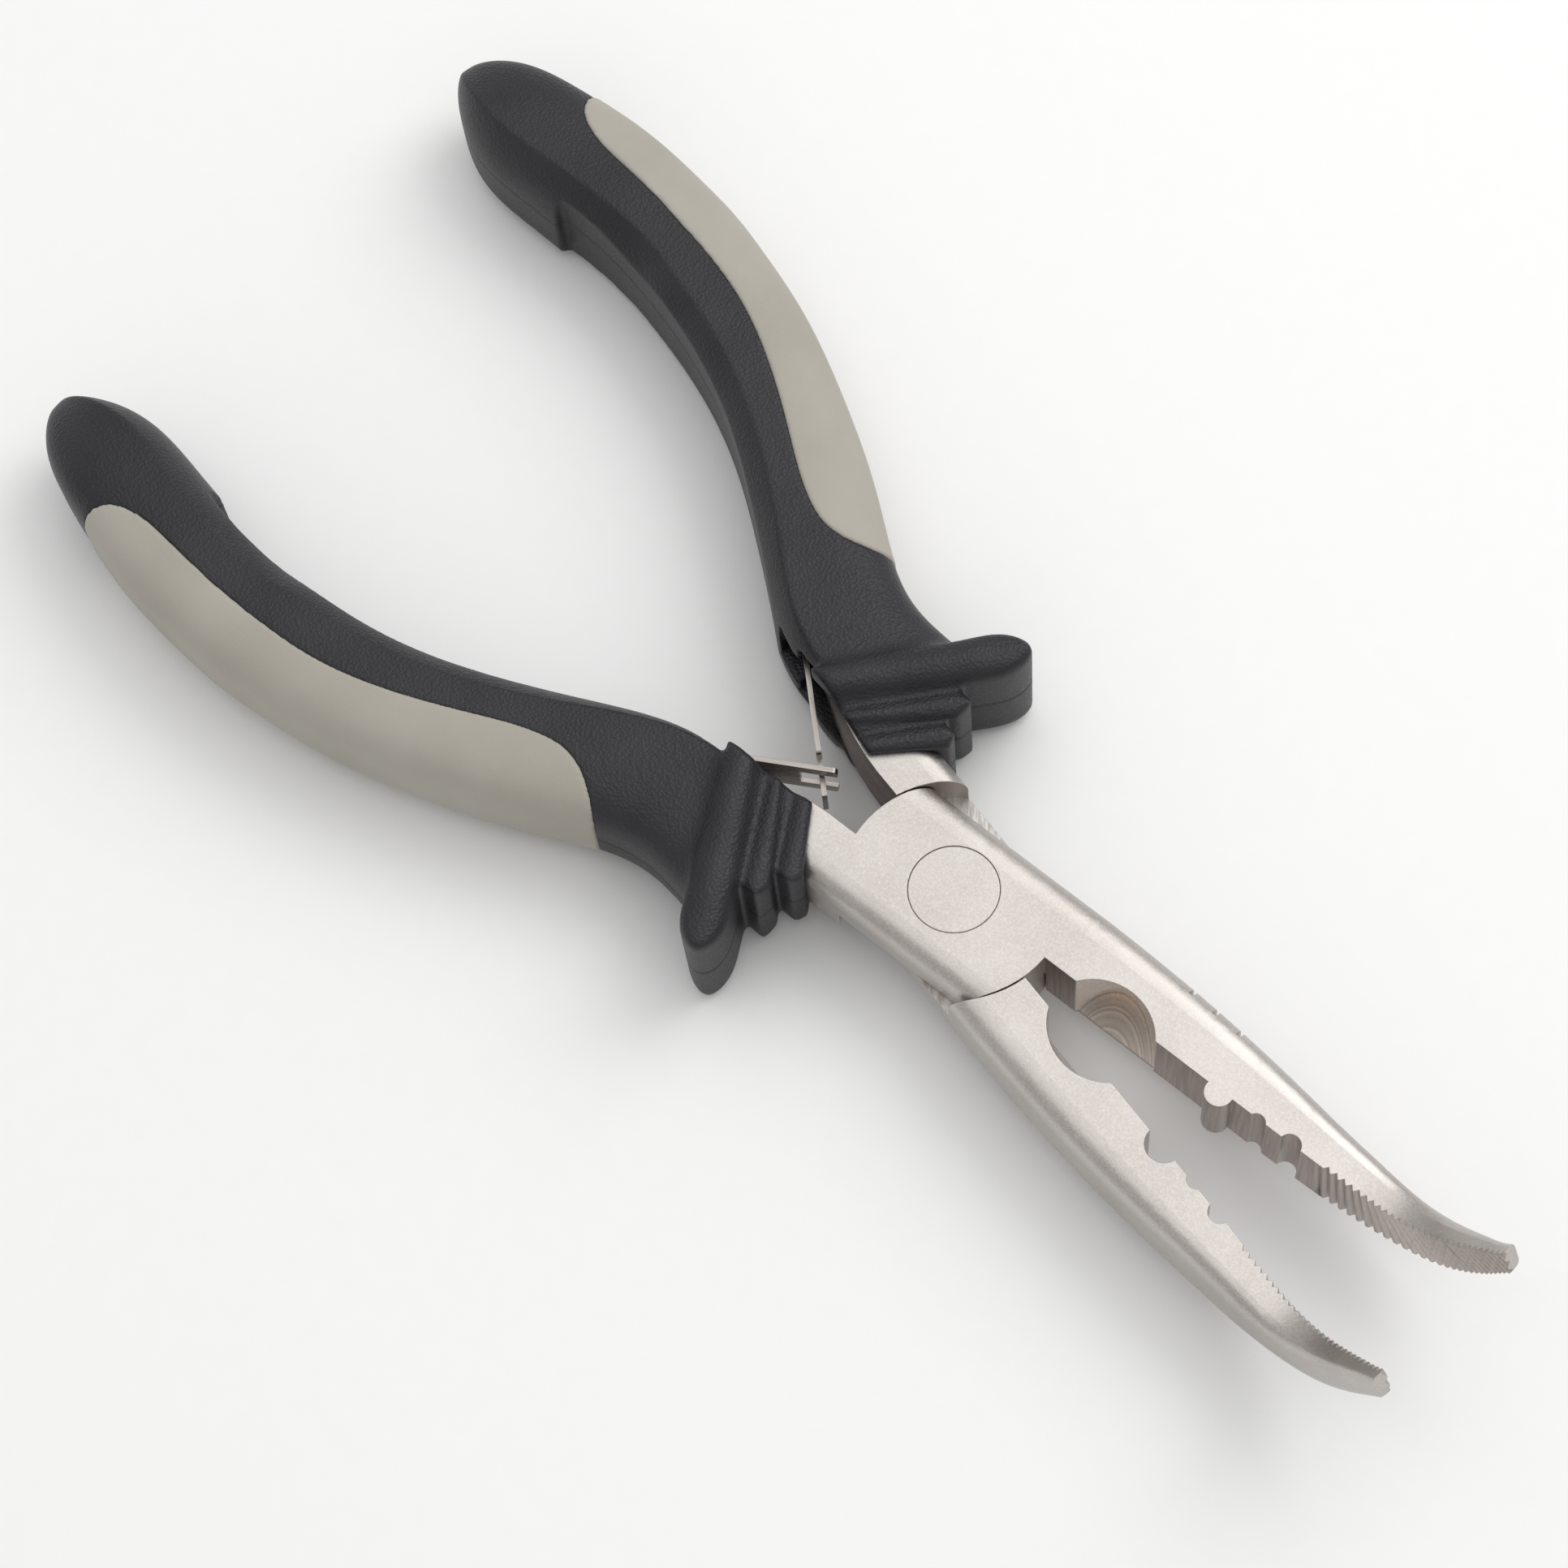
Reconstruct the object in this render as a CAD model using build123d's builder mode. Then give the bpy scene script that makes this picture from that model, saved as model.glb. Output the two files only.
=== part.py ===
from build123d import *
import math
import os

# Spring-loaded fishing pliers with bent noses, standing half open as they rest.
# Frame: Z is the pivot axis, X runs along the centre line towards the jaw tips,
# and Z = 0 is the flat lower face of the lap joint. Lengths are in millimetres.
# Each half is drawn shut, in its own frame, with its jaw on the +Y side, and is
# then turned about the pivot by half of the opening angle. The second half is
# the first one's mirror image, with the joint's other layer.

# ---- lap joint ----
open_angle = 13.5          # between the two jaw faces in the resting pose
joint_thickness = 8.5      # lap joint, jaws and shanks at their thickest
layer_gap = 0.04           # running clearance between the two lap faces
face_gap = 0.06            # each jaw face stands this far off the centre line
joint_radius = 10.6        # round shoulder of the lap joint
shoulder_gap = 0.15        # radial clearance of the shoulder
jaw_side = 6.95            # joint's edge on the jaw's side
shank_side = -7.5          # joint's edge on the shank's side
shank_inner = -1.45        # inner face of the shank beside the joint
joint_reach = 12.0         # straight stretch to each side of the pivot
bevel_share = 0.4          # broad rounded bevel, as a share of the width
bevel_drop_share = 0.26    # and of the height

# ---- pivot rivet ----
rivet_radius = 4.3         # flush head, seen as a fine ring
rivet_shank_radius = 3.2
rivet_head_depth = 1.6
rivet_clearance = 0.03     # radial running fit in the loose half
rivet_chamfer = 0.12

# ---- jaw: distance from the pivot, width, underside, upper face ----
# The last third sweeps upwards and thins out towards the blunt tip.
jaw_stations = (
    (12.0, 6.95, 0.0, 8.5),
    (17.0, 6.85, 0.0, 8.5),
    (22.0, 6.63, 0.0, 8.5),
    (27.0, 6.28, 0.0, 8.5),
    (32.0, 5.78, 0.0, 8.5),
    (36.5, 5.22, 0.06, 8.5),
    (41.0, 4.6, 0.3, 8.5),
    (45.5, 4.05, 1.1, 8.5),
    (50.0, 3.4, 2.75, 9.1),
    (53.0, 2.9, 4.4, 11.0),
    (55.5, 2.45, 6.6, 13.8),
    (57.7, 2.0, 9.7, 16.9),
    (59.7, 1.6, 13.7, 20.0),
    (62.0, 1.25, 19.0, 23.2),
)
tip_beyond = ((58.9, 24.1), (62.5, 14.8), (66.0, 14.8), (66.0, 24.1))  # past its slanted flat end

# ---- jaw face ----
cutter_x = 18.8            # side cutter pocket, ground into the upper face
cutter_radius = 5.6
cutter_bite = 2.4          # how far it bites into the jaw at the top face
cutter_rim = 0.65          # height of the upright rim above the slope
edge_recess = 0.25         # cutting edge, behind the jaw face
edge_land = 0.4            # height of the edge's narrow upright land
boss_x = 30.7              # locating boss of one jaw, and the other's socket
boss_radius = 1.35
boss_reach = 1.5
boss_floor = 0.7           # underside of the boss
socket_radius = 1.75
socket_depth = 1.65
groove_small = (35.0, 0.8, 0.55)    # crimp grooves: centre, half width, depth
groove_large = (38.6, 1.05, 0.95)
tooth_pitch = 0.92
tooth_depth = 0.42
tooth_half_width = 0.36    # of each groove, which leaves a narrow land between two
tooth_reach = 4.0          # to each side of the jaw's middle line
nick_positions = (23.0, 25.8, 28.7)  # three nicks in one jaw's outer edge
nick_width = 0.5
nick_depth = 0.85

# ---- shank and tang: distance behind the pivot, inner face, outer face ----
shank_stations = (
    (-12.0, -1.45, -7.5),
    (-16.0, -1.6, -7.3),
    (-22.0, -2.8, -8.4),
    (-28.0, -4.8, -10.4),
)
tang_line = (
    (-27.0, -8.2),
    (-36.0, -11.6),
    (-46.0, -15.6),
    (-56.0, -18.3),
    (-68.0, -19.6),
    (-80.0, -19.2),
    (-87.0, -18.2),
)
tang_width = 4.4
tang_thickness = 4.8

# ---- grip: distance behind the pivot, inner side, outer side, half height, and
# how far the upper inner edge stands back ----
handle_stations = (
    (-18.5, -3.0, -15.6, 5.6, 0.5),
    (-23.5, -2.7, -14.9, 5.9, 0.8),
    (-29.0, -2.5, -15.5, 6.1, 1.6),
    (-36.0, -4.6, -18.4, 6.2, 2.4),
    (-44.0, -8.0, -21.5, 6.2, 3.1),
    (-52.0, -11.0, -23.9, 6.2, 3.2),
    (-60.0, -12.9, -25.5, 6.2, 3.2),
    (-68.0, -13.6, -26.2, 6.2, 3.2),
    (-76.0, -13.4, -25.9, 6.2, 3.2),
    (-82.0, -12.3, -25.2, 6.15, 3.1),
    (-88.0, -11.1, -23.8, 6.0, 2.9),
    (-94.0, -10.7, -21.9, 5.6, 2.4),
    (-98.0, -11.8, -20.0, 4.5, 1.6),
    (-100.6, -13.3, -17.7, 2.9, 0.8),
    (-101.7, -14.6, -16.2, 1.2, 0.3),
)
skin_stations = 12            # of them, those that reach past the inlay
side_share = 0.3              # upright part of the round outer side
crown_share = 0.5             # rounding of the outer side, as a share of the width
corner_share = 0.12           # rounding of the lower inner corner
lean_share = 0.6              # the inner side stays upright up to this share of the height
# inner face of the handle, let in between the mouth and the swollen end
inner_face = (
    (-31.0, -2.5), (-36.0, -5.1), (-44.0, -8.9), (-52.0, -12.1), (-60.0, -14.0),
    (-68.0, -14.7), (-76.0, -14.5), (-82.0, -13.4),
)
# thumb guard: a slanted rib with a flared tip
guard_rib = ((-20.2, -13.0), (-25.15, -2.2), (-21.5, -2.2), (-15.2, -12.8))
guard_tip = (
    (-15.2, -12.8), (-13.9, -15.3), (-13.2, -17.8), (-14.0, -19.9),
    (-16.0, -19.6), (-18.4, -16.4), (-20.2, -13.0),
)
collar_two = ((-22.0, -2.3), (-18.8, -2.0), (-13.0, -10.6), (-13.2, -12.3), (-17.4, -12.3))
collar_one = ((-20.0, -2.2), (-15.4, -1.7), (-11.3, -8.1), (-11.8, -9.2), (-17.0, -9.4))
guard_half_height = 6.6
guard_edge_radius = 0.8
collar_edge_radius = 0.4
collar_two_half_height = 5.75
collar_one_half_height = 5.2

# ---- soft inlay on the grip's outer side ----
inlay_edge = (
    (-89.5, -23.0), (-88.2, -21.0), (-84.0, -19.9), (-78.0, -20.4), (-70.0, -20.8), (-62.0, -20.5),
    (-54.0, -18.6), (-46.0, -15.4), (-40.0, -13.0), (-36.0, -12.5), (-32.5, -14.0), (-29.0, -17.4),
)
inlay_outside = ((-27.0, -21.0), (-60.0, -32.0), (-89.5, -30.0))
inlay_depth = 1.8
inlay_taper = 0.7             # its depth above and below, as a share of that

# ---- leaf springs, in the half's own frame ----
spring_root = (-29.0, -4.2)   # where the leaf leaves its clamp
leaf_angle = 29.4             # in the resting pose
leaf_length = 12.9            # root to interlock
leaf_thickness = 0.5
leaf_width = 4.6
leaf_corner = 0.4
leaf_tail = 3.4               # behind the root
leaf_nose = 1.5               # past the interlock
fork_gap = 2.4                # slot of the forked leaf
fork_depth = 3.6
neck_width = 1.6              # tongue of the other leaf
neck_length = 3.2
head_width = 3.4              # end of the tongue, too wide for the slot
head_length = 0.9

# ---- spring seat and rivet, inside the mouth of the grip ----
seat_outline = ((-27.0, -6.0), (-27.6, -4.8), (-34.0, -8.1), (-34.0, -10.5), (-27.0, -8.5))
seat_angle = 27.3
leaf_hole_radius = 1.1
spring_rivet_radius = 0.75
spring_rivet_head_radius = 1.25
spring_rivet_back = 2.1       # behind the root
spring_rivet_length = 2.6     # of the shank, below the leaf's middle
spring_head_lift = 0.9        # leaf's middle to the underside of the head
spring_head_height = 0.4
pocket_outline = (
    (-26.0, -0.5), (-31.3, -0.5), (-31.7, -4.0), (-32.9, -4.5), (-34.0, -5.2), (-34.0, -8.6), (-26.0, -4.9),
)
pocket_half_width = 2.75
lip_overlap = 0.4             # the way between the lips starts this deep in the steel

mid_z = joint_thickness / 2
half_angle = open_angle / 2
shoulder_radius = joint_radius + shoulder_gap
reach = 120.0                 # longer than anything it has to cut
overcut = 1.0                 # cuts start and end this far outside the piece
tall = 12.0                   # half the height of the upright prisms


def across(x):
    """Plane across the handle or jaw at a distance from the pivot, drawn in Y and Z."""
    return Plane((x, 0, 0), x_dir=(0, 1, 0), z_dir=(1, 0, 0))


# ---------------------------------------------------------------- steel halves
def jaw_blank():
    """Jaw at full thickness, from the end of the straight stretch to the tip."""
    with BuildPart() as blank:
        for x, width, low, high in jaw_stations:
            bevel = bevel_share * width
            drop = bevel_drop_share * (high - low)
            with BuildSketch(across(x)):
                with BuildLine():
                    Polyline((width - bevel, high), (face_gap, high), (face_gap, low), (width - bevel, low))
                    Bezier((width - bevel, low), (width, low), (width, low + drop))
                    Line((width, low + drop), (width, high - drop))
                    Bezier((width, high - drop), (width, high), (width - bevel, high))
                make_face()
        loft()
    return blank.part


def shank_blank():
    """Shank at full thickness, from the straight stretch to the start of the tang."""
    top = joint_thickness
    drop = bevel_drop_share * joint_thickness
    with BuildPart() as blank:
        for x, inner, outer in shank_stations:
            bevel = bevel_share * (inner - outer)
            with BuildSketch(across(x)):
                with BuildLine():
                    Polyline((outer + bevel, top), (inner, top), (inner, 0), (outer + bevel, 0))
                    Bezier((outer + bevel, 0), (outer, 0), (outer, drop))
                    Line((outer, drop), (outer, top - drop))
                    Bezier((outer, top - drop), (outer, top), (outer + bevel, top))
                make_face()
        loft()
    return blank.part


def joint_blank():
    """Round lap joint at full thickness, with the straight starts of jaw and shank."""
    top = joint_thickness
    drop = bevel_drop_share * joint_thickness
    jaw_flat = jaw_side * (1 - bevel_share)
    shank_flat = shank_side + bevel_share * (shank_inner - shank_side)
    with BuildPart() as blank:
        with BuildSketch(across(-joint_reach)):
            with BuildLine():
                Line((shank_flat, 0), (jaw_flat, 0))
                Bezier((jaw_flat, 0), (jaw_side, 0), (jaw_side, drop))
                Line((jaw_side, drop), (jaw_side, top - drop))
                Bezier((jaw_side, top - drop), (jaw_side, top), (jaw_flat, top))
                Line((jaw_flat, top), (shank_flat, top))
                Bezier((shank_flat, top), (shank_side, top), (shank_side, top - drop))
                Line((shank_side, top - drop), (shank_side, drop))
                Bezier((shank_side, drop), (shank_side, 0), (shank_flat, 0))
            make_face()
        extrude(amount=2 * joint_reach)
        with BuildSketch(Plane.XY):
            Circle(joint_radius)
            with Locations((0, face_gap)):
                Rectangle(joint_reach, joint_radius, align=(Align.MIN, Align.MIN))
            with Locations((0, shank_inner)):
                Rectangle(joint_reach, joint_radius, align=(Align.MAX, Align.MAX))
        extrude(amount=top, mode=Mode.INTERSECT)
    return blank.part


def tang_blank():
    """Flat tang inside the grip, with the seat of the spring at its front."""
    with BuildPart() as blank:
        with BuildSketch(Plane.XY.offset(mid_z - tang_thickness / 2)):
            with BuildLine():
                near = Spline(*[(x, y + tang_width / 2) for x, y in tang_line])
                far = Spline(*[(x, y - tang_width / 2) for x, y in tang_line])
                Line(near @ 0, far @ 0)
                Line(near @ 1, far @ 1)
            make_face()
            with BuildLine():
                Polyline(*seat_outline, close=True)
            make_face()
        extrude(amount=tang_thickness)
    return blank.part


def cutter_pocket():
    """Space of the side cutter: an upright round rim over one steep ground face."""
    rim_floor = joint_thickness - cutter_rim
    with BuildPart() as pocket:
        with BuildSketch(Plane.XY.offset(-overcut)):
            with Locations((cutter_x, cutter_bite - cutter_radius)):
                Circle(cutter_radius)
        extrude(amount=joint_thickness + 2 * overcut)
        with BuildSketch(across(0)):
            with BuildLine():
                Polyline(
                    (-reach, -overcut),
                    (edge_recess, -overcut),
                    (edge_recess, edge_land),
                    (cutter_bite, rim_floor),
                    (reach, rim_floor),
                    (reach, joint_thickness + overcut),
                    (-reach, joint_thickness + overcut),
                    close=True,
                )
            make_face()
        extrude(amount=reach, mode=Mode.INTERSECT)
    return pocket.part


def round_groove(x, half_width, depth):
    """Round-bottomed groove right through the jaw, from its upper to its lower face."""
    radius = (half_width**2 + depth**2) / (2 * depth)
    with BuildPart() as groove:
        with BuildSketch(Plane.XY.offset(-overcut)):
            with Locations((x, depth - radius)):
                Circle(radius)
        extrude(amount=joint_thickness + 2 * overcut)
    return groove.part


def tooth_grooves():
    """V grooves across the jaw face, square to the jaw's rising middle line."""
    front = layer_gap
    flare = tooth_half_width * (tooth_depth + front) / tooth_depth
    with BuildLine(Plane.XZ) as middle:
        Spline(*[(x, (low + high) / 2) for x, _, low, high in jaw_stations if x > groove_large[0]])
    line = middle.edges()[0]
    with BuildPart() as grooves:
        for count in range(1, int(line.length / tooth_pitch)):
            spot = line.position_at(count * tooth_pitch, position_mode=PositionMode.LENGTH)
            rise = line.tangent_at(count * tooth_pitch, position_mode=PositionMode.LENGTH)
            square = Plane((spot.X, face_gap, spot.Z), x_dir=rise, z_dir=(-rise.Z, 0, rise.X))
            with BuildSketch(square):
                with BuildLine():
                    Polyline((-flare, -front), (flare, -front), (0, tooth_depth), close=True)
                make_face()
            extrude(amount=tooth_reach, both=True)
    return grooves.part


def tip_end():
    """Space past the jaw's slanted flat end."""
    with BuildPart() as beyond:
        with BuildSketch(Plane.XZ):
            with BuildLine():
                Polyline(*tip_beyond, close=True)
            make_face()
        extrude(amount=jaw_side, both=True)
    return beyond.part


def jaw_width(x):
    """Width of the jaw at a distance from the pivot."""
    for (x0, w0, *_), (x1, w1, *_) in zip(jaw_stations, jaw_stations[1:]):
        if x <= x1:
            return w0 + (w1 - w0) * (x - x0) / (x1 - x0)


def outer_nicks():
    """Three narrow nicks in the outer edge of one jaw."""
    with BuildPart() as nicks:
        with BuildSketch(Plane.XY.offset(-overcut)):
            for x in nick_positions:
                with Locations((x, jaw_width(x))):
                    Rectangle(nick_width, 2 * nick_depth)
        extrude(amount=joint_thickness + 2 * overcut)
    return nicks.part


def spring_rivet_plane():
    """Plane square to the spring's rivet, at the middle of the leaf."""
    back = math.radians(leaf_angle)
    lean = math.radians(seat_angle)
    x = spring_root[0] - spring_rivet_back * math.cos(back)
    y = spring_root[1] - spring_rivet_back * math.sin(back)
    return Plane((x, y, mid_z), x_dir=(0, 0, 1), z_dir=(-math.sin(lean), math.cos(lean), 0))


def steel_half(upper_layer):
    """One steel half in its own frame; the half with the upper layer has the boss."""
    with BuildPart() as half:
        add(jaw_blank())
        if upper_layer:
            with BuildSketch(Plane.XY.offset(boss_floor)):
                with Locations((boss_x, boss_radius - boss_reach)):
                    Circle(boss_radius)
            extrude(amount=joint_thickness - boss_floor)
            add(outer_nicks(), mode=Mode.SUBTRACT)
        else:
            with BuildSketch(Plane.XY.offset(-overcut)):
                with Locations((boss_x, socket_depth - socket_radius)):
                    Circle(socket_radius)
            extrude(amount=joint_thickness + 2 * overcut, mode=Mode.SUBTRACT)
        add(cutter_pocket(), mode=Mode.SUBTRACT)
        add(round_groove(*groove_small), mode=Mode.SUBTRACT)
        add(round_groove(*groove_large), mode=Mode.SUBTRACT)
        add(tooth_grooves(), mode=Mode.SUBTRACT)
        add(tip_end(), mode=Mode.SUBTRACT)
        add(joint_blank())
        add(shank_blank())
        add(tang_blank())
        # the other half's layer turns inside this round recess
        floor = -overcut if upper_layer else mid_z - layer_gap / 2
        with BuildSketch(Plane.XY.offset(floor)):
            Circle(shoulder_radius)
        extrude(amount=mid_z + layer_gap / 2 + overcut, mode=Mode.SUBTRACT)
        # rivet hole with its sunk head
        fit = 0 if upper_layer else rivet_clearance
        with BuildSketch(Plane.XY.offset(-overcut)):
            Circle(rivet_shank_radius + fit)
        extrude(amount=joint_thickness + 2 * overcut, mode=Mode.SUBTRACT)
        head_floor = joint_thickness - rivet_head_depth if upper_layer else -overcut
        head_height = rivet_head_depth if upper_layer else rivet_head_depth + fit + overcut
        with BuildSketch(Plane.XY.offset(head_floor)):
            Circle(rivet_radius + fit)
        extrude(amount=head_height, mode=Mode.SUBTRACT)
        # blind hole of the spring's rivet
        with BuildSketch(spring_rivet_plane()):
            Circle(spring_rivet_radius)
        extrude(amount=-spring_rivet_length, mode=Mode.SUBTRACT)
    return half.part


# ----------------------------------------------------------------------- grips
def grip_section(x, inner, outer, height, setback):
    """Upright on the inside of the handle but leaning back above, round on the outside."""
    corner = corner_share * (inner - outer)
    crown = crown_share * (inner - outer)
    ridge = inner - setback
    side = side_share * height
    low = mid_z - height
    high = mid_z + height
    with BuildSketch(across(x)) as section:
        with BuildLine():
            Line((inner, low + corner), (inner, mid_z))
            Bezier((inner, mid_z), (inner, mid_z + lean_share * height), (ridge, high))
            Line((ridge, high), (outer + crown, high))
            Bezier((outer + crown, high), (outer, high), (outer, mid_z + side))
            Line((outer, mid_z + side), (outer, mid_z - side))
            Bezier((outer, mid_z - side), (outer, low), (outer + crown, low))
            Line((outer + crown, low), (inner - corner, low))
            Bezier((inner - corner, low), (inner, low), (inner, low + corner))
        make_face()
    return section.sketch


def handle_blank(skin=0.0):
    """Whole handle, or its core under a skin on its outer side."""
    stations = handle_stations[:skin_stations] if skin else handle_stations
    with BuildPart() as handle:
        sections = [
            grip_section(x, inner, outer + skin, height - inlay_taper * skin, setback)
            for x, inner, outer, height, setback in stations
        ]
        loft(sections)
    return handle.part


def inner_recess():
    """Upright prism that lets the handle's inner face in, up to its swollen end."""
    with BuildPart() as recess:
        with BuildSketch(Plane.XY.offset(mid_z - tall)):
            with BuildLine():
                face = Spline(*inner_face)
                Polyline(face @ 1, (inner_face[-1][0], 0), (inner_face[0][0], 0), face @ 0)
            make_face()
        extrude(amount=2 * tall)
    return recess.part


def slab(outline, half_height, edge_radius):
    """Flat block of the given outline about the middle plane, with soft edges."""
    with BuildPart() as block:
        with BuildSketch(Plane.XY.offset(mid_z - half_height)):
            with BuildLine():
                Polyline(*outline, close=True)
            make_face()
        extrude(amount=2 * half_height)
        rims = block.edges().group_by(Axis.Z)
        fillet(rims[0] + rims[-1], edge_radius)
    return block.part


def guard_block():
    """Thumb guard: a slanted rib whose tip flares out beside the joint."""
    with BuildPart() as block:
        with BuildSketch(Plane.XY.offset(mid_z - guard_half_height)):
            with BuildLine():
                Polyline(*guard_rib)
                Spline(*guard_tip)
            make_face()
        extrude(amount=2 * guard_half_height)
        rims = block.edges().group_by(Axis.Z)
        fillet(rims[0] + rims[-1], guard_edge_radius)
    return block.part


def inlay_region():
    """Upright prism over the part of the handle that the inlay covers."""
    with BuildPart() as region:
        with BuildSketch(Plane.XY.offset(mid_z - tall)):
            with BuildLine():
                edge = Spline(*inlay_edge)
                Polyline(edge @ 1, *inlay_outside, edge @ 0)
            make_face()
        extrude(amount=2 * tall)
    return region.part


def grip_inlay():
    """Soft inlay let into the outer side of the handle."""
    with BuildPart() as inlay:
        add(handle_blank())
        add(inlay_region(), mode=Mode.INTERSECT)
        add(handle_blank(inlay_depth), mode=Mode.SUBTRACT)
    return inlay.part


def spring_opening():
    """Way for the spring between the grip's two lips, and its pocket behind them."""
    floor = [(0, shank_inner - lip_overlap)]
    floor += [(x, inner - lip_overlap) for x, inner, _ in shank_stations]
    back = shank_stations[-1][0]
    with BuildPart() as opening:
        with BuildSketch(Plane.XY):
            with BuildLine():
                Polyline(*floor, (back, -shank_side), (0, -shank_side), close=True)
            make_face()
        extrude(amount=joint_thickness)
        with BuildSketch(Plane.XY.offset(mid_z - pocket_half_width)):
            with BuildLine():
                Polyline(*pocket_outline, close=True)
            make_face()
        extrude(amount=2 * pocket_half_width)
    return opening.part


def grip_body(inlay):
    """Firm moulded body of the grip, round the steel and under the inlay."""
    with BuildPart() as body:
        add(handle_blank())
        add(inner_recess(), mode=Mode.SUBTRACT)
        add(guard_block())
        add(slab(collar_two, collar_two_half_height, collar_edge_radius))
        add(slab(collar_one, collar_one_half_height, collar_edge_radius))
        add(inlay, mode=Mode.SUBTRACT)
        add(shank_blank(), mode=Mode.SUBTRACT)
        add(tang_blank(), mode=Mode.SUBTRACT)
        add(spring_opening(), mode=Mode.SUBTRACT)
    return body.part


# --------------------------------------------------------------- rivet, springs
def flush_rivet():
    """Pivot rivet with two flush heads, each with a finely broken edge."""
    with BuildPart() as rivet:
        with BuildSketch(Plane.XY):
            Circle(rivet_radius)
        extrude(amount=rivet_head_depth)
        with BuildSketch(Plane.XY):
            Circle(rivet_shank_radius)
        extrude(amount=joint_thickness)
        with BuildSketch(Plane.XY.offset(joint_thickness - rivet_head_depth)):
            Circle(rivet_radius)
        extrude(amount=rivet_head_depth)
        rims = rivet.edges().group_by(Axis.Z)
        chamfer(rims[0] + rims[-1], rivet_chamfer)
    return rivet.part


def leaf_spring(forked):
    """Flat leaf, its nose cut as a fork or as a tongue with a head."""
    angle = math.radians(leaf_angle)
    along = (math.cos(angle), math.sin(angle), 0)
    flat = Plane((*spring_root, mid_z), x_dir=along, z_dir=(math.sin(angle), -math.cos(angle), 0))
    nose = leaf_length + leaf_nose
    neck_start = leaf_length - neck_length / 2
    body_end = nose if forked else neck_start
    with BuildPart() as leaf:
        with BuildSketch(flat.offset(-leaf_thickness / 2)) as outline:
            with BuildLine():
                Polyline(
                    (-leaf_tail, -leaf_width / 2),
                    (body_end, -leaf_width / 2),
                    (body_end, leaf_width / 2),
                    (-leaf_tail, leaf_width / 2),
                    close=True,
                )
            make_face()
            fillet(outline.vertices(), leaf_corner)
            with Locations((-spring_rivet_back, 0)):
                Circle(leaf_hole_radius, mode=Mode.SUBTRACT)
            if forked:
                with Locations((nose - fork_depth / 2, 0)):
                    Rectangle(fork_depth, fork_gap, mode=Mode.SUBTRACT)
            else:
                with Locations((leaf_length, 0)):
                    Rectangle(neck_length, neck_width)
                with Locations((leaf_length + neck_length / 2 + head_length / 2, 0)):
                    Rectangle(head_length, head_width)
        extrude(amount=leaf_thickness)
    return leaf.part


def spring_rivet():
    """Small rivet that holds the leaf's clamped end to the seat."""
    seat = spring_rivet_plane()
    with BuildPart() as rivet:
        with BuildSketch(seat.offset(-spring_rivet_length)):
            Circle(spring_rivet_radius)
        extrude(amount=spring_rivet_length + spring_head_lift)
        with BuildSketch(seat.offset(spring_head_lift)):
            Circle(spring_rivet_head_radius)
        extrude(amount=spring_head_height)
    return rivet.part


# -------------------------------------------------------------------- assembly
def turned_a(shape):
    """First half's piece, opened to its resting place."""
    return shape.rotate(Axis.Z, half_angle)


def turned_b(shape):
    """Second half's piece: the mirror image, opened the other way."""
    return mirror(shape, about=Plane.XZ).rotate(Axis.Z, -half_angle)


inlay_shape = grip_inlay()
body_shape = grip_body(inlay_shape)
small_rivet = spring_rivet()
pieces = {
    "jaw_half_a": turned_a(steel_half(True)),
    "jaw_half_b": turned_b(steel_half(False)),
    "pivot_rivet": flush_rivet(),
    "leaf_spring_a": turned_a(leaf_spring(True)),
    "leaf_spring_b": turned_b(leaf_spring(False)),
    "spring_rivet_a": turned_a(small_rivet),
    "spring_rivet_b": turned_b(small_rivet),
    "grip_body_a": turned_a(body_shape),
    "grip_body_b": turned_b(body_shape),
    "grip_inlay_a": turned_a(inlay_shape),
    "grip_inlay_b": turned_b(inlay_shape),
}

os.makedirs("parts", exist_ok=True)
for name, piece in pieces.items():
    piece.label = name
    export_step(piece, f"parts/{name}.step")
    print(f"{name}: {piece.volume:.0f} mm3, {len(piece.solids())} solid")
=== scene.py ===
import math

import bpy
import numpy as np
from mathutils import Euler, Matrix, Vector


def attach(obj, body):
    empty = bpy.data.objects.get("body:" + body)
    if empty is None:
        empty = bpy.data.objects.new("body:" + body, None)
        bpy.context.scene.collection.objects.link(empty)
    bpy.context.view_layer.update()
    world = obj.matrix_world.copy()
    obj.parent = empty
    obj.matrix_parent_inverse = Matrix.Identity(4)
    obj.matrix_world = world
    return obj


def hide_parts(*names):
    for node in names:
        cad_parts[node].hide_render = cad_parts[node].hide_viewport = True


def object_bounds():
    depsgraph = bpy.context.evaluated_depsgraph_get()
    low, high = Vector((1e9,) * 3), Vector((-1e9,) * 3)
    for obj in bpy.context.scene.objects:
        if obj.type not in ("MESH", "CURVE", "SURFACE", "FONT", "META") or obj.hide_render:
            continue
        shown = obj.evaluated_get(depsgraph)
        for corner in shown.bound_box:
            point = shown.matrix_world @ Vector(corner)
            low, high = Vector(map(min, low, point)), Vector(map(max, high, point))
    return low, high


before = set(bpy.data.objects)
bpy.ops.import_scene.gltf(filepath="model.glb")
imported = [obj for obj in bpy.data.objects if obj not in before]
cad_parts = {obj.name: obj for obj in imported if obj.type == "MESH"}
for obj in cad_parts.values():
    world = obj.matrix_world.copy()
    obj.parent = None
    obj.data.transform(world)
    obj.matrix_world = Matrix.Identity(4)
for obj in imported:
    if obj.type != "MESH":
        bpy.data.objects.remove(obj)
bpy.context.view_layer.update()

MM = 0.001
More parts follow.
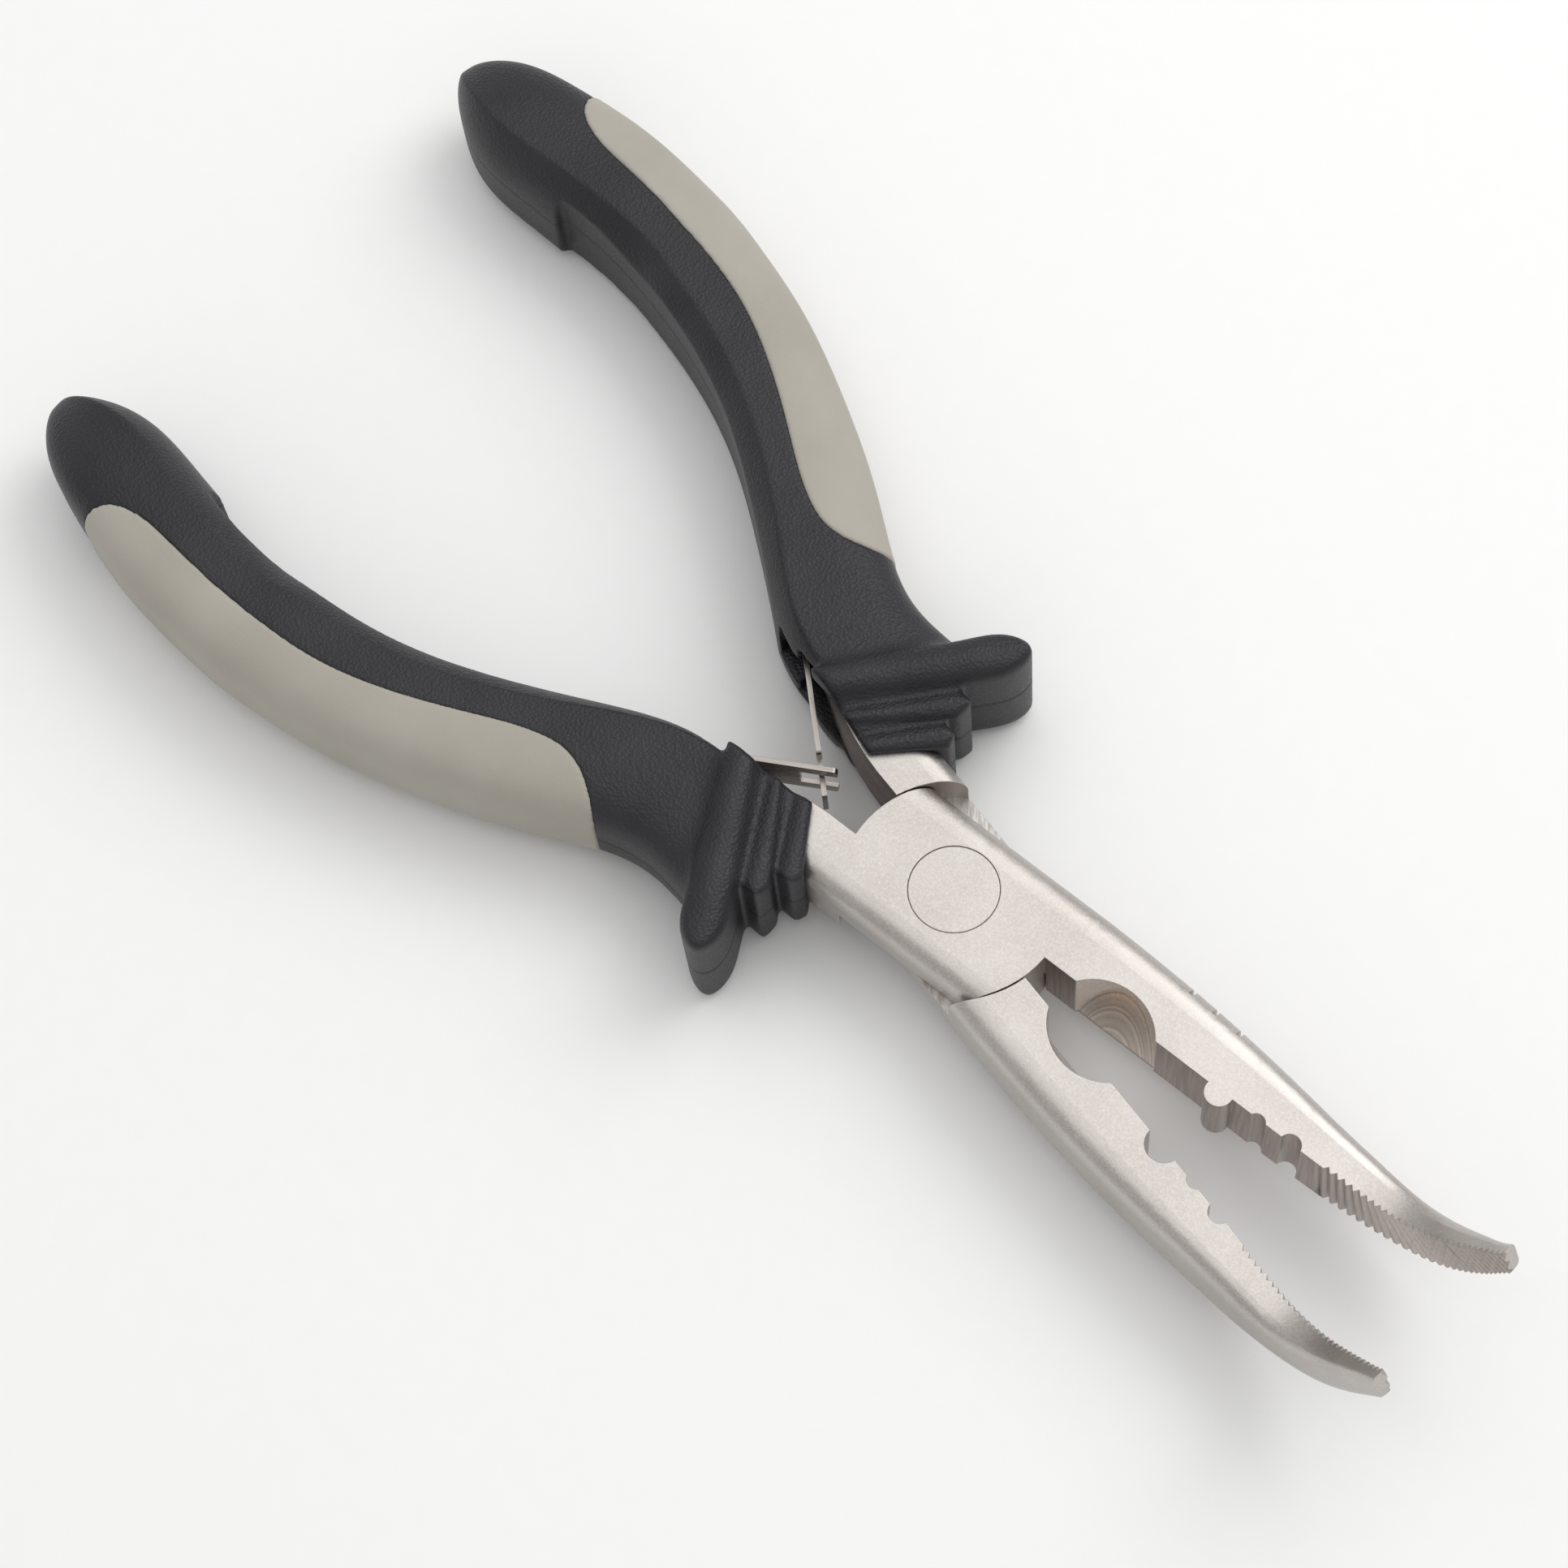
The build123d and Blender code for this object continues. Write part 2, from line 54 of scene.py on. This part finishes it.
HALF_ANGLE = math.radians(6.75)      # each half is turned by this from its shut place
MID_Z = 4.25                         # parting plane of the grips, in millimetres
LAP_Z = 4.27                         # where the two layers of the lap joint meet
SIDES = {"a": 1.0, "b": -1.0}        # the second half mirrors the first one
CUTTER_X = 19.05                     # side cutter's round pocket, opened with its jaw
CUTTER_Y = -0.97
CUTTER_RADIUS = 5.68
CUTTER_TOP = 8.42                    # just under the jaw's upper face
CUTTER_BOTTOM = 0.45                 # and just over its lower face
JAW_START = 9.0                      # ground jaw faces lie ahead of this
SHANK_FADE = (-11.0, -9.5)           # shank faces with a painted brown shade lie behind this stretch
RIB_START = (-23.3, -2.2)            # thumb guard's crest, in the shut half's frame
RIB_ALONG = (0.464, -0.886)
FOOT_AHEAD = -2.8                    # where the guard's rear grows out of the handle
COLLARS_AHEAD = (3.9, 6.6)           # crests of the two collars ahead of the guard's
DIPS_AHEAD = (2.5, 5.3)              # and the dips behind them
SCRATCH_TURN = 0.8                   # angle of the scratches on the joint, in radians
SPRING_TURN = math.radians(36)       # angle of the leaf springs
BODY_VOXEL = 0.22                    # cells of the remeshed grips
PAD_VOXEL = 0.2
SOFT_ROUNDS = 4                      # rounds of smoothing all over
RELAX_ROUNDS = 90                    # and where the guard meets the handle


# ---------------------------------------------------------------- node helpers
class Nodes:
    """A material and short calls for the nodes it is made of."""

    def __init__(self, name, **constants):
        self.mat = bpy.data.materials.new(name)
        self.mat.use_nodes = True
        self.tree = self.mat.node_tree
        self.shader = self.tree.nodes["Principled BSDF"]
        for key, value in constants.items():
            self.shader.inputs[key.replace("_", " ")].default_value = value
        self.coords = self.tree.nodes.new("ShaderNodeTexCoord")

    def feed(self, socket, value):
        if isinstance(value, (int, float, tuple)):
            socket.default_value = value
        else:
            self.tree.links.new(value, socket)

    def math(self, operation, *values):
        node = self.tree.nodes.new("ShaderNodeMath")
        node.operation = operation
        for socket, value in zip(node.inputs, values):
            self.feed(socket, value)
        return node.outputs[0]

    def vector(self, operation, *values):
        node = self.tree.nodes.new("ShaderNodeVectorMath")
        node.operation = operation
        for socket, value in zip(node.inputs, values):
            self.feed(socket, value)
        return node.outputs["Value" if operation in ("LENGTH", "DOT_PRODUCT") else "Vector"]

    def ramp(self, value, low, high, to_low=0.0, to_high=1.0):
        node = self.tree.nodes.new("ShaderNodeMapRange")
        node.interpolation_type = "SMOOTHSTEP"
        for socket, number in zip(node.inputs, (value, low, high, to_low, to_high)):
            self.feed(socket, number)
        return node.outputs["Result"]

    def noise(self, scale, detail=2.0, rough=0.5, vector=None):
        """Noise with about as many features to the millimetre as scale says."""
        node = self.tree.nodes.new("ShaderNodeTexNoise")
        node.inputs["Scale"].default_value = scale / MM
        node.inputs["Detail"].default_value = detail
        node.inputs["Roughness"].default_value = rough
        self.feed(node.inputs["Vector"], vector or self.coords.outputs["Object"])
        return node.outputs["Fac"]

    def cells(self, scale):
        node = self.tree.nodes.new("ShaderNodeTexVoronoi")
        node.inputs["Scale"].default_value = scale / MM
        self.feed(node.inputs["Vector"], self.coords.outputs["Object"])
        return node.outputs["Distance"]

    def stretch(self, factors, turn=0.0):
        """Coordinates turned to an angle, then scaled along their own axes."""
        node = self.tree.nodes.new("ShaderNodeMapping")
        node.vector_type = "TEXTURE"
        node.inputs["Rotation"].default_value = (0, 0, turn)
        node.inputs["Scale"].default_value = tuple(1.0 / factor for factor in factors)
        self.feed(node.inputs["Vector"], self.coords.outputs["Object"])
        return node.outputs["Vector"]

    def spread(self, value):
        """A vector with the one value as its X."""
        node = self.tree.nodes.new("ShaderNodeCombineXYZ")
        self.feed(node.inputs[0], value)
        return node.outputs[0]

    def mix(self, share, first, second):
        node = self.tree.nodes.new("ShaderNodeMix")
        node.data_type = "RGBA"
        self.feed(node.inputs["Factor"], share)
        self.feed(node.inputs[6], first)
        self.feed(node.inputs[7], second)
        return node.outputs[2]

    def facing(self):
        """How far the surface faces straight up or down, from 0 to 1."""
        split = self.tree.nodes.new("ShaderNodeSeparateXYZ")
        self.feed(split.inputs[0], self.coords.outputs["Normal"])
        return self.math("ABSOLUTE", split.outputs["Z"])

    def sideways(self):
        """The Y part of the normal of the mesh's own face."""
        shape = self.tree.nodes.new("ShaderNodeNewGeometry")
        turned = self.tree.nodes.new("ShaderNodeVectorTransform")
        turned.vector_type = "NORMAL"
        turned.convert_from = "WORLD"
        turned.convert_to = "OBJECT"
        self.feed(turned.inputs[0], shape.outputs["True Normal"])
        split = self.tree.nodes.new("ShaderNodeSeparateXYZ")
        self.feed(split.inputs[0], turned.outputs[0])
        return split.outputs["Y"]

    def mended(self, normal):
        """The normal, or the face's own one where the mesh's stored normal is turned over."""
        shape = self.tree.nodes.new("ShaderNodeNewGeometry")
        along = self.vector("DOT_PRODUCT", shape.outputs["Normal"], shape.outputs["True Normal"])
        node = self.tree.nodes.new("ShaderNodeMix")
        node.data_type = "VECTOR"
        self.feed(node.inputs["Factor"], self.math("LESS_THAN", along, 0.0))
        self.feed(node.inputs[4], normal)
        self.feed(node.inputs[5], shape.outputs["True Normal"])
        return node.outputs[1]

    def position(self):
        split = self.tree.nodes.new("ShaderNodeSeparateXYZ")
        self.feed(split.inputs[0], self.coords.outputs["Object"])
        return split.outputs

    def bump(self, height, distance, strength=1.0, over=None):
        """Bump of that many millimetres; over is the normal below it."""
        node = self.tree.nodes.new("ShaderNodeBump")
        node.inputs["Distance"].default_value = distance * MM
        self.feed(node.inputs["Strength"], strength)
        self.feed(node.inputs["Height"], height)
        if over is not None:
            self.feed(node.inputs["Normal"], over)
        return node.outputs[0]

    def soft_edges(self, radius):
        node = self.tree.nodes.new("ShaderNodeBevel")
        node.samples = 6
        node.inputs["Radius"].default_value = radius * MM
        return node.outputs[0]

    def finish(self, colour, roughness, normal):
        self.feed(self.shader.inputs["Base Color"], colour)
        self.feed(self.shader.inputs["Roughness"], roughness)
        self.feed(self.shader.inputs["Normal"], normal)
        return self.mat


# ------------------------------------------------------------------- materials
def inner_walls(n, side):
    """Shares of the faces that look across the centre line, and of the stretch with the shanks."""
    x = n.position()["X"]
    across = n.math("MULTIPLY", n.sideways(), side)
    ahead = n.math("GREATER_THAN", x, JAW_START * MM)
    behind = n.ramp(x, SHANK_FADE[0] * MM, SHANK_FADE[1] * MM, 1.0, 0.0)
    # the jaws' faces look one way and the shanks' the other
    inward = n.math("MULTIPLY", across, n.math("SUBTRACT", behind, ahead))
    return n.ramp(inward, 0.35, 0.75), behind


def cutter_pocket(n, side):
    """Share of the side cutter's pocket, and the distance from its upright axis."""
    z = n.position()["Z"]
    middle = (CUTTER_X * MM, side * CUTTER_Y * MM, 0.0)
    offset = n.vector("SUBTRACT", n.coords.outputs["Object"], middle)
    away = n.vector("LENGTH", n.vector("MULTIPLY", offset, (1.0, 1.0, 0.0)))
    inside = n.math("LESS_THAN", away, CUTTER_RADIUS * MM)
    below = n.math("LESS_THAN", z, CUTTER_TOP * MM)
    above = n.math("GREATER_THAN", z, CUTTER_BOTTOM * MM)
    return n.math("MULTIPLY", n.math("MULTIPLY", inside, below), above), away


def bare_layer(n):
    """Share of the flat top of the joint's lower layer, where the other half leaves it bare."""
    z = n.position()["Z"]
    flat = n.math("GREATER_THAN", n.facing(), 0.9)
    near = n.math("LESS_THAN", n.math("ABSOLUTE", n.math("SUBTRACT", z, LAP_Z * MM)), 0.15 * MM)
    return n.math("MULTIPLY", flat, near)


def satin_steel(name, side):
    """Bead-blasted nickel on the outside; ground faces inside the jaws, their darker tone partly
    painted shade.
    """
    n = Nodes(name, Metallic=1.0)
    wall, behind = inner_walls(n, side)
    pocket, away = cutter_pocket(n, side)
    grain = n.noise(5.0, 4.0, 0.75)
    cloud = n.noise(0.12, 2.0)
    blasted = n.mix(n.ramp(cloud, 0.3, 0.7), (0.45, 0.415, 0.385, 1), (0.50, 0.465, 0.435, 1))
    blasted = n.mix(n.ramp(grain, 0.35, 0.75, 0.0, 0.5), blasted, (0.74, 0.715, 0.69, 1))
    # ground faces: fine lines that run through the jaw's thickness, on a darker tone that is partly
    # painted shade
    lines = n.noise(3.0, 3.0, 0.6, n.stretch((1.0, 1.0, 0.04)))
    ground = n.mix(n.ramp(lines, 0.3, 0.7), (0.36, 0.305, 0.28, 1), (0.50, 0.435, 0.405, 1))
    # the shanks' inner faces have lengthwise lines, and a dark brown cast that is painted shade of
    # their recess
    drawn = n.noise(2.2, 3.0, 0.6, n.stretch((0.04, 0.04, 1.0)))
    drawn_and_painted_shade = n.mix(n.ramp(drawn, 0.3, 0.7), (0.10, 0.07, 0.058, 1), (0.22, 0.165, 0.14, 1))
    # the cutter's pocket has the arcs of the wheel that ground it
    arcs = n.noise(5.0, 3.0, 0.65, n.spread(away))
    ground_arcs = n.mix(n.ramp(arcs, 0.3, 0.7), (0.52, 0.445, 0.39, 1), (0.95, 0.86, 0.78, 1))
    # scratches across the exposed part of the lower layer
    rubbed = n.noise(2.5, 2.0, 0.7, n.stretch((0.12, 1.0, 1.0), side * SCRATCH_TURN))
    scratched = n.mix(n.ramp(rubbed, 0.35, 0.65), (0.34, 0.315, 0.295, 1), (0.54, 0.515, 0.49, 1))
    # jaw walls take the ground colour, darker partly as painted shade; shank walls take the dark brown
    # painted shade
    colour = n.mix(wall, blasted, n.mix(behind, ground, drawn_and_painted_shade))
    colour = n.mix(bare_layer(n), colour, scratched)
    colour = n.mix(pocket, colour, ground_arcs)
    roughness = n.ramp(grain, 0.3, 0.7, 0.33, 0.45)
    roughness = n.math("SUBTRACT", roughness, n.math("MULTIPLY", pocket, 0.1))
    normal = n.bump(grain, 0.016, 0.6, n.mended(n.soft_edges(0.1)))
    plain_wall = n.math("MULTIPLY", wall, n.math("SUBTRACT", 1.0, pocket))
    normal = n.bump(lines, 0.02, n.math("MULTIPLY", plain_wall, 0.5), normal)
    normal = n.bump(arcs, 0.02, n.math("MULTIPLY", pocket, 0.6), normal)
    return n.finish(colour, roughness, normal)


def black_rubber():
    """Firm charcoal elastomer, leathery above and below, smoother on its sides."""
    n = Nodes("black_elastomer", Specular_IOR_Level=0.4)
    up = n.ramp(n.facing(), 0.35, 0.85, 0.25, 1.0)
    grain = n.cells(3.2)
    fine = n.noise(6.0, 3.0, 0.6)
    shade = n.noise(0.15, 3.0)
    colour = n.mix(n.ramp(shade, 0.3, 0.7), (0.0135, 0.0135, 0.0165, 1), (0.020, 0.0195, 0.024, 1))
    colour = n.mix(n.ramp(fine, 0.62, 0.8, 0.0, 0.25), colour, (0.10, 0.10, 0.11, 1))
    roughness = n.ramp(fine, 0.3, 0.7, 0.36, 0.54)
    normal = n.bump(grain, 0.09, n.math("MULTIPLY", up, 0.8))
    normal = n.bump(fine, 0.04, 0.45, normal)
    return n.finish(colour, roughness, normal)


def grey_rubber():
    """Soft warm grey elastomer with a silky surface."""
    n = Nodes("grey_elastomer", Specular_IOR_Level=0.4)
    fine = n.noise(7.0, 3.0, 0.6)
    shade = n.noise(0.09, 3.0)
    colour = n.mix(n.ramp(shade, 0.3, 0.7), (0.36, 0.335, 0.285, 1), (0.40, 0.375, 0.325, 1))
    colour = n.mix(n.ramp(fine, 0.35, 0.7, 0.0, 0.2), colour, (0.46, 0.435, 0.38, 1))
    normal = n.bump(fine, 0.02, 0.35)
    return n.finish(colour, n.ramp(fine, 0.3, 0.7, 0.5, 0.62), normal)


def bright_steel(name, colour, streaks, turn):
    n = Nodes(name, Metallic=1.0)
    lines = n.noise(streaks, 3.0, 0.6, n.stretch((0.05, 1.0, 1.0), turn))
    tint = n.mix(n.ramp(lines, 0.3, 0.7), colour, tuple(0.88 * c for c in colour[:3]) + (1,))
    normal = n.bump(lines, 0.006, 0.3, n.soft_edges(0.05))
    return n.finish(tint, n.ramp(lines, 0.3, 0.7, 0.22, 0.36), normal)


# ----------------------------------------------------------------------- grips
def half_frame(points, side):
    """Points of the scene in the shut half's own frame, in millimetres."""
    turn = -HALF_ANGLE
    x = points[:, 0] / MM
    y = points[:, 1] / MM * side
    out = np.empty_like(points)
    out[:, 0] = x * math.cos(turn) - y * math.sin(turn)
    out[:, 1] = x * math.sin(turn) + y * math.cos(turn)
    out[:, 2] = points[:, 2] / MM - MID_Z
    return out


def scene_frame(points, side):
    """Points of the shut half's frame back in the scene, in metres."""
    out = np.empty_like(points)
    x, y = points[:, 0], points[:, 1]
    out[:, 0] = (x * math.cos(HALF_ANGLE) - y * math.sin(HALF_ANGLE)) * MM
    out[:, 1] = (x * math.sin(HALF_ANGLE) + y * math.cos(HALF_ANGLE)) * MM * side
    out[:, 2] = (points[:, 2] + MID_Z) * MM
    return out


def moulded(node, name, voxel, rounds):
    """A mesh of the moulded piece that stands for a CAD node, with its edges softened."""
    made = bpy.data.objects.new(name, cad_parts[node].data.copy())
    bpy.context.scene.collection.objects.link(made)
    weld = made.modifiers.new("weld", "WELD")
    weld.merge_threshold = 1e-6
    skin = made.modifiers.new("skin", "REMESH")
    skin.mode = "VOXEL"
    skin.voxel_size = voxel * MM
    soft = made.modifiers.new("soft", "SMOOTH")
    soft.factor = 0.5
    soft.iterations = rounds
    apply_modifiers(made)
    return made


def apply_modifiers(made):
    """Puts the object's modifiers into its mesh."""
    bpy.context.view_layer.update()
    depsgraph = bpy.context.evaluated_depsgraph_get()
    mesh = bpy.data.meshes.new_from_object(made.evaluated_get(depsgraph))
    made.modifiers.clear()
    made.vertex_groups.clear()
    made.data = mesh
    mesh.name = made.name
    mesh.shade_smooth()


def relax(made, side, softness, rounds):
    """Smooths the mesh where softness(half-frame points) says so."""
    points = np.empty(len(made.data.vertices) * 3, np.float32)
    made.data.vertices.foreach_get("co", points)
    share = softness(half_frame(points.reshape(-1, 3).astype(float), side))
    group = made.vertex_groups.new(name="soft")
    tenths = np.round(share * 10).astype(int)
    for tenth in range(1, 11):
        group.add(np.flatnonzero(tenths == tenth).tolist(), tenth / 10, "REPLACE")
    smooth = made.modifiers.new("relax", "SMOOTH")
    smooth.factor = 0.5
    smooth.iterations = rounds
    smooth.vertex_group = group.name
    apply_modifiers(made)


def reshape(made, side, change):
    """Moves the mesh's points by change(half-frame points, normals)."""
    mesh = made.data
    count = len(mesh.vertices)
    points = np.empty(count * 3, np.float32)
    normals = np.empty(count * 3, np.float32)
    mesh.vertices.foreach_get("co", points)
    mesh.vertex_normals.foreach_get("vector", normals)
    local = half_frame(points.reshape(-1, 3).astype(float), side)
    turned = half_frame(normals.reshape(-1, 3).astype(float) * MM, side)
    turned[:, 2] += MID_Z
    moved = scene_frame(change(local, turned), side)
    mesh.vertices.foreach_set("co", moved.astype(np.float32).ravel())
    mesh.update()


def rib_frame(local):
    """Distances in front of the thumb guard's crest and along it."""
    back = local[:, :2] - RIB_START
    along = back @ RIB_ALONG
    ahead = back @ (-RIB_ALONG[1], RIB_ALONG[0])
    return ahead, along


def bell(distance, width):
    return np.exp(-((distance / width) ** 2))


def step(value, low, high):
    share = np.clip((value - low) / (high - low), 0.0, 1.0)
    return share * share * (3.0 - 2.0 * share)


def guard_softness(local):
    """How much the mould rounds each place: most where the guard grows out of the handle."""
    ahead, along = rib_frame(local)
    soft = bell(ahead - FOOT_AHEAD, 2.0) + 0.35 * bell(ahead - 2.2, 0.9) + 0.12 * step(ahead, -2.0, 0.0)
    return np.clip(soft, 0.0, 1.0) * step(along, -0.5, 1.5) * step(ahead, -9.0, -6.0)


def body_detail(local, normals):
    """Crest of the guard and of the collars, and the parting line round the sides."""
    out = local.copy()
    ahead, along = rib_frame(local)
    level = np.sign(local[:, 2]) * np.clip(np.abs(local[:, 2]) / 5.0, 0.0, 1.0) ** 2
    lift = 0.75 * bell(ahead, 1.9) * (1.0 - 0.6 * step(along, 14.0, 19.0))
    lift += 0.25 * (bell(ahead - COLLARS_AHEAD[0], 0.9) + bell(ahead - COLLARS_AHEAD[1], 0.9))
    lift -= 0.25 * bell(ahead - DIPS_AHEAD[0], 0.6) + 0.2 * bell(ahead - DIPS_AHEAD[1], 0.5)
    out[:, 2] += level * lift
    flat = np.clip(1.0 - np.abs(normals[:, 2]) * 1.6, 0.0, 1.0)
    line = 0.11 * bell(local[:, 2], 0.16) * flat
    return out - normals * line[:, None]


def pad_detail(local, normals):
    """The pad stands a hair proud of the body round it."""
    return local + normals * 0.13


black = black_rubber()
grey = grey_rubber()
steel = {side: satin_steel(f"satin_steel_{side}", sign) for side, sign in SIDES.items()}
for side, sign in SIDES.items():
    body = moulded(f"grip_body_{side}", f"grip_skin_{side}", BODY_VOXEL, SOFT_ROUNDS)
    relax(body, sign, guard_softness, RELAX_ROUNDS)
    reshape(body, sign, body_detail)
    pad = moulded(f"grip_inlay_{side}", f"grip_pad_{side}", PAD_VOXEL, SOFT_ROUNDS)
    reshape(pad, sign, pad_detail)
    for piece, mat, node, slot in (
        (body, black, f"grip_body_{side}", "black_elastomer"),
        (pad, grey, f"grip_inlay_{side}", "grey_elastomer"),
    ):
        piece.data.materials.clear()
        piece.data.materials.append(mat)
        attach(piece, f"half_{side}")
        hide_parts(node)


def dress(node, mat):
    """Gives a CAD node its finish."""
    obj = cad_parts[node]
    for entry in obj.material_slots:
        entry.material = mat
    if not obj.material_slots:
        obj.data.materials.append(mat)


rivet_mat = satin_steel("rivet_steel", 1.0)
for side, sign in SIDES.items():
    dress(f"jaw_half_{side}", steel[side])
    dress(f"leaf_spring_{side}", bright_steel(
        f"spring_steel_{side}", (0.40, 0.365, 0.34, 1), 4.0, sign * SPRING_TURN))
    dress(f"spring_rivet_{side}", rivet_mat)
dress("pivot_rivet", rivet_mat)


# ----------------------------------------------------- floor, lights and camera
def plane_mesh(name, half):
    mesh = bpy.data.meshes.new(name)
    corners = [(-half, -half, 0), (half, -half, 0), (half, half, 0), (-half, half, 0)]
    mesh.from_pydata(corners, [], [(0, 1, 2, 3)])
    return mesh


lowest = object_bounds()[0][2]
floor = bpy.data.objects.new("floor", plane_mesh("floor", 3.0))
floor.location = (0, 0, lowest)
bpy.context.scene.collection.objects.link(floor)
paper = Nodes("floor_paper", Specular_IOR_Level=0.1)
fibre = paper.noise(0.4, 3.0)
floor.data.materials.append(paper.finish(
    paper.mix(fibre, (0.90, 0.90, 0.895, 1), (0.92, 0.92, 0.915, 1)),
    0.9,
    paper.bump(fibre, 0.02, 0.1),
))


def softbox(name, place, aim, size, power):
    data = bpy.data.lights.new(name, "AREA")
    data.shape = "RECTANGLE"
    data.size, data.size_y = size
    data.energy = power
    lamp = bpy.data.objects.new(name, data)
    lamp.location = place
    lamp.rotation_mode = "QUATERNION"
    lamp.rotation_quaternion = (Vector(aim) - Vector(place)).to_track_quat("-Z", "Y")
    bpy.context.scene.collection.objects.link(lamp)


middle = (-0.02, 0, 0)
softbox("key", (0.05, 0.50, 0.55), middle, (0.5, 0.5), 1.6)
softbox("top", (-0.10, 0.20, 0.90), middle, (1.2, 1.2), 3.5)

world = bpy.data.worlds.new("studio")
world.use_nodes = True
world.node_tree.nodes["Background"].inputs["Color"].default_value = (1, 1, 1, 1)
world.node_tree.nodes["Background"].inputs["Strength"].default_value = 0.6
scene = bpy.context.scene
scene.world = world
scene.view_settings.view_transform = "Standard"

eye = bpy.data.cameras.new("camera")
eye.sensor_width = 36.0
eye.lens = 93.17
eye.clip_start = 0.01
eye.clip_end = 20.0
camera = bpy.data.objects.new("camera", eye)
camera.location = (0.0996, -0.0865, 0.3564)
camera.rotation_euler = Euler((math.radians(22.256), math.radians(3.364), math.radians(46.911)))
scene.collection.objects.link(camera)
scene.camera = camera
